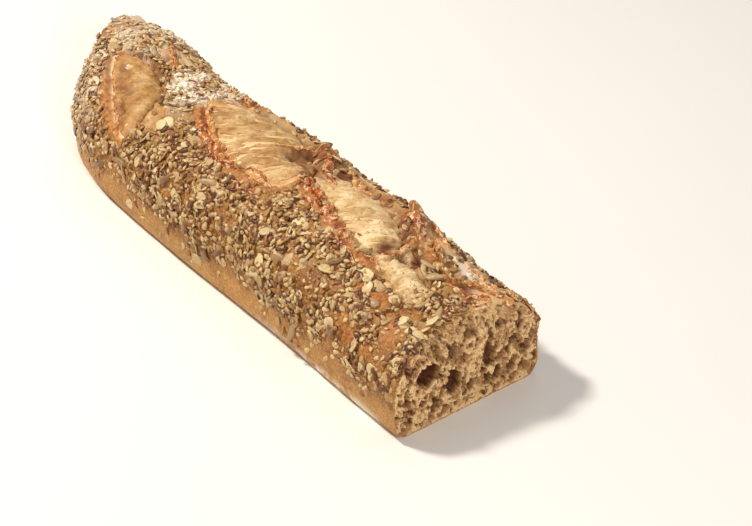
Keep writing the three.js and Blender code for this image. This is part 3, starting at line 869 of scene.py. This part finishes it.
# half is half a seed's length, width and thickness in mm. Strays are seeds that are placed one by one, with
# their x, girth, lift and turn.
seeds = {
    "sunflower_kernels": {
        "half": (4.6, 2.2, 1.25), "size": (0.8, 1.1), "sides": (10, 7), "point": 0.4, "ragged": 0.07,
        "count": 105, "spacing": 6.5, "tilt": 16, "drifts": 0.3, "thinning": 0.3,
        "colours": ("#8a6845", "#d2b284"), "rough": 0.4, "strayTone": 0.8,
        "strays": [(-32, 6, 0.9, 0.9), (-42, 9, 1.2, 0.2), (-22, -12, 0.8, 1.4), (-24, -4, 0.9, 0.3),
                   (-12, -9, 0.9, 2.2)],
    },
    "oat_flakes": {
        "half": (3.8, 2.9, 0.55), "size": (0.5, 1.15), "sides": (12, 6), "point": 0.1, "ragged": 0.09,
        "count": 580, "spacing": 3.6, "tilt": 30, "drifts": 0.35, "thinning": 0,
        "colours": ("#a67638", "#efd8a4"), "rough": 0.45, "strayTone": 1.0,
        "strays": [(-56, -17, 1.0, 0.4), (-53, -19, 1.8, 1.7), (-50, -21, 1.0, 2.6), (-144, 28, 2.6, 0.3),
                   (-71, -6, 1.6, 0.9), (-69, -9, 1.2, 2.0), (-228, -20, 1.2, 0.4), (-226, -17, 1.4, 1.4),
                   (-7, -25, 1.0, 0.5), (-9, -16, 1.0, 1.0), (-7, -21, 1.2, 2.0), (-20, -24, 0.8, 0.8)],
    },
    "linseed": {
        "half": (2.6, 1.35, 0.6), "size": (0.8, 1.1), "sides": (8, 5), "point": 0.3, "ragged": 0.05,
        "count": 920, "spacing": 2.1, "tilt": 24, "drifts": 0.95, "thinning": 0.65,
        "colours": ("#44230f", "#8f5b3c"), "rough": 0.4, "strayTone": 0.2,
        "strays": [(-45, 33, 0.8, 0.4), (-26, 31, 0.8, 1.0), (-8, 31, 0.8, 2.0), (-22, -1, 0.9, 0.7),
                   (-12, -26, 0.8, 2.6), (-14, -23, 0.9, 0.2), (-37, 12, 1.2, 1.1)],
    },
    "sesame": {
        "half": (1.65, 1.05, 0.68), "size": (0.7, 1.25), "sides": (8, 4), "point": 0.35, "ragged": 0.05,
        "count": 2700, "spacing": 1.65, "tilt": 34, "drifts": 0.6, "thinning": 0,
        "colours": ("#9a652b", "#ecd096"), "rough": 0.4, "strayTone": 0.5,
        "strays": [],
    },
}
# patches of seeds with their centre and half size in x and girth: how full the clusters are, and how
# bare the clearings
clusters = [((-20, -6, 12, 13), 0.95), ((-36, 28, 10, 4), 0.3), ((-70, -8, 4, 3), 1.0),
            ((-97, 36, 8, 4), 0.8)]
clearings = [((-290, 22, 14, 8), 0.9), ((-244, -18, 20, 11), 1.0), ((-50, 5, 10, 10), 1.0),
             ((-38, 1, 8, 6), 0.8), ((-18, 17, 20, 9), 0.85), ((-62, 26, 16, 9), 0.9),
             ((-152, -17, 18, 6), 0.7), ((-185, -15, 12, 5), 0.6), ((-140, 24, 26, 10), 0.9),
             ((-34, -46, 30, 12), 0.45)]


def seedDensity(x, girth):
    # share of the skin that seeds cover, 0 to 1: the band over the sides, not the openings nor the torn edges
    band = smooth(63 - np.abs(girth), 0, 12)
    patches = 0.85 + 0.45 * grain(np.stack([x, girth, 0 * x], 1), 22, 2, 1.1)
    clear = np.ones(len(x))
    for slash in slashes:
        across, lens = inSlash(slash, x, girth)
        ear = slash["earHeight"]
        begins = smooth(across, -1.6 * ear, -0.7 * ear)
        clear *= 1 - begins * smooth(slash["gap"] * lens - across, -2, 2) * (lens > 0)
    for place, bareness in clearings:
        clear *= 1 - bareness * patch(x, girth, place)
    clear *= (1 - 0.92 * within(stretched, x, girth)) * (1 - 0.85 * within(glazed, x, girth))
    cluster = np.max([fullness * patch(x, girth, place) for place, fullness in clusters], axis=0)
    covered = np.maximum(band * clear * np.clip(patches, 0, 1), cluster)
    sparse = 0.05 * smooth(74 - np.abs(girth), 0, 10) * clear
    onCrust = smooth(-x - tornBack(girth), 0, 2) * smooth(loaf["length"] + x, 0, 45)
    return np.maximum(covered, sparse) * onCrust


def strew(measures, taken, draw):
    # places of one kind, spaced from their own kind and lifted where they lie on larger ones that came before
    wanted = measures["count"]
    many = wanted * 14
    x, girth = draw.uniform(-loaf["length"], 0, many), draw.uniform(-76, 76, many)
    drift = grain(np.stack([x, girth, 0 * x + len(taken)], 1), 15, 2, 7.3)
    keep = draw.random(many) < seedDensity(x, girth) * (1 - measures["drifts"] * smooth(-drift, -0.1, 0.3))
    keep &= draw.random(many) > measures["thinning"] * smooth(-x, 200, 300)
    placed = np.full((wanted, 2), 1e6)
    count = 0
    for px, pg in zip(x[keep], girth[keep]):
        if count >= wanted:
            break
        if np.min(np.hypot(placed[:count + 1, 0] - px, placed[:count + 1, 1] - pg)) >= measures["spacing"]:
            placed[count] = px, pg
            count += 1
    x, girth = placed[:count].T
    lift = np.zeros(count)
    for other in taken:
        away = np.hypot(other["x"][:, None] - x, other["girth"][:, None] - girth)
        lift = np.where((away < other["reach"]).any(0), np.maximum(lift, other["thick"]), lift)
    long, _, thick = measures["half"]
    taken.append({"x": x, "girth": girth, "reach": long * 0.6, "thick": thick * 1.3})
    turn = draw.uniform(-3.14, 3.14, count)
    strays = np.array(measures["strays"]).reshape(-1, 4)
    return [np.concatenate(pair) for pair in zip((x, girth, lift, turn), strays.T)]


def oneSeed(name, measures):
    bm = bmesh.new()
    around, along = measures["sides"]
    bmesh.ops.create_uvsphere(bm, u_segments=around, v_segments=along, radius=1)
    if name != "oat_flakes":
        bmesh.ops.rotate(bm, verts=bm.verts, cent=(0, 0, 0), matrix=Matrix.Rotation(radians(90), 3, "Y"))
    for v in bm.verts:
        slim = 1 - measures["point"] * v.co.x
        v.co.y *= slim
        v.co.z *= 0.5 + 0.5 * slim
        if name == "oat_flakes":  # a rolled flake has a crease along its middle
            v.co.z -= 0.7 * max(0, 0.3 - abs(v.co.y)) / 0.3
    mesh = bpy.data.meshes.new("one")
    bm.to_mesh(mesh)
    bm.free()
    shape, faces = np.array([v.co for v in mesh.vertices]), [tuple(p.vertices) for p in mesh.polygons]
    bpy.data.meshes.remove(mesh)
    return shape, faces


def makeSeeds(name, measures, taken, drawNumber):
    draw = np.random.default_rng(drawNumber)
    x, girth, lift, turn = strew(measures, taken, draw)
    count = len(x)
    base = onSkin(x, girth)
    ahead, around, out = directions(x, girth)
    shape, faces = oneSeed(name, measures)
    # every seed gets its own size, outline, curl, turn and tilt
    half = np.array(measures["half"]) * draw.uniform(*measures["size"], (count, 1))
    half = half * draw.uniform(0.85, 1.15, (count, 3))
    long, wide, thick = half[:, :1], half[:, 1:2], half[:, 2:3]
    compass = np.arctan2(shape[:, 1], shape[:, 0])
    wave = 1.0
    for turns, depth in ((2, 1.0), (3, 0.8), (5, 0.5)):
        wave = wave + measures["ragged"] * depth * np.sin(turns * compass + draw.uniform(0, 6.28, (count, 1)))
    a, b, c = shape[:, 0] * wave * long, shape[:, 1] * wave * wide, shape[:, 2] * thick
    c = c + draw.uniform(-0.5, 0.7, (count, 1)) * (a / long) ** 2 * thick
    tilt = radians(measures["tilt"])
    roll, pitch = draw.uniform(-tilt, tilt, (count, 1)), draw.uniform(-tilt, tilt, (count, 1))
    turn = turn[:, None]
    b, c = b * np.cos(roll) - c * np.sin(roll), b * np.sin(roll) + c * np.cos(roll)
    a, c = a * np.cos(pitch) + c * np.sin(pitch), -a * np.sin(pitch) + c * np.cos(pitch)
    a, b = a * np.cos(turn) - b * np.sin(turn), a * np.sin(turn) + b * np.cos(turn)
    c = c + draw.uniform(0.0, 0.75, (count, 1)) * thick + lift[:, None]
    placed = base[:, None] + a[..., None] * ahead[:, None] + b[..., None] * around[:, None]
    placed = placed + c[..., None] * out[:, None]
    placed[:, :, 0] = np.minimum(placed[:, :, 0], 0.3)
    placed[:, :, 2] = np.maximum(placed[:, :, 2], 0)
    mesh = bpy.data.meshes.new(name)
    allFaces = [tuple(v + i * len(shape) for v in f) for i in range(count) for f in faces]
    mesh.from_pydata(rowPoints(placed.reshape(-1, 3)).tolist(), [], allFaces)
    flour = flourAt(base, x, girth) * draw.uniform(0.45, 1, count)
    tone = draw.random(count)
    tone[count - len(measures["strays"]):] = measures["strayTone"]
    for layer, values in (("tone", tone), ("flour", flour)):
        perVertex = np.repeat(values, len(shape)).astype(np.float32)
        mesh.attributes.new(layer, "FLOAT", "POINT").data.foreach_set("value", perVertex)
    addPiece(name, mesh, seedMaterial(name, *measures["colours"], measures["rough"]))
    print(name, count)


taken = []
for number, (name, measures) in enumerate(seeds.items()):
    makeSeeds(name, measures, taken, 100 + number)

stage = {"size": 4.0, "colours": ("#efedea", "#f7f5f2"), "world": 0.2}
view = {"azimuth": 51.7, "elevation": 34.7, "distance": 1.2, "aim": (-98.5, 22.4, 20), "lens": 114.3}
# place, size, power and colour
lights = {
    "key": ((-0.6, -0.45, 1.15), 0.18, 17.5, "#fff6e8"),
    "top": ((-0.2, 0.5, 1.3), 1.0, 2.4, "#ffffff"),
    "front": ((1.1, -0.4, 0.75), 0.25, 7.5, "#fff6ea"),
}


def makeStage():
    bm = bmesh.new()
    bmesh.ops.create_grid(bm, x_segments=1, y_segments=1, size=stage["size"] / 2)
    mesh = bpy.data.meshes.new("floor")
    bm.to_mesh(mesh)
    bm.free()
    material, tree = newMaterial("pale painted floor", 0.7)
    place = addNode(tree, "ShaderNodeTexCoord").outputs["Object"]
    cloud = addNode(tree, "ShaderNodeTexNoise", inputs={"Vector": place, "Scale": 3}).outputs["Fac"]
    low, high = stage["colours"]
    shader = tree.nodes["Principled BSDF"]
    tree.links.new(coats(tree, low, (cloud, high)), shader.inputs["Base Color"])
    mesh.materials.append(material)
    floor = bpy.data.objects.new("floor", mesh)
    bpy.context.scene.collection.objects.link(floor)


def makeLights():
    aim = Vector((0, 0, 0.03))
    for name, (place, size, power, colour) in lights.items():
        lamp = bpy.data.lights.new(name, "AREA")
        lamp.size = size
        lamp.energy = power
        lamp.color = hexColour(colour)[:3]
        thing = bpy.data.objects.new(name, lamp)
        thing.location = place
        thing.rotation_euler = (aim - Vector(place)).to_track_quat("-Z", "Y").to_euler()
        bpy.context.scene.collection.objects.link(thing)
    world = bpy.data.worlds.new("studio")
    world.use_nodes = True
    world.node_tree.nodes["Background"].inputs["Color"].default_value = hexColour("#ffffff")
    world.node_tree.nodes["Background"].inputs["Strength"].default_value = stage["world"]
    bpy.context.scene.world = world
    bpy.context.scene.view_settings.view_transform = "Standard"


def makeCamera():
    az, el = radians(view["azimuth"]), radians(view["elevation"])
    aim = rowPoint(*view["aim"])
    lens = bpy.data.cameras.new("camera")
    lens.lens = view["lens"]
    lens.clip_end = 20
    camera = bpy.data.objects.new("camera", lens)
    camera.location = aim + view["distance"] * Vector((cos(el) * sin(az), -cos(el) * cos(az), sin(el)))
    camera.rotation_euler = (aim - camera.location).to_track_quat("-Z", "Y").to_euler()
    bpy.context.scene.collection.objects.link(camera)
    bpy.context.scene.camera = camera


makeStage()
makeLights()
makeCamera()
print("stage set")
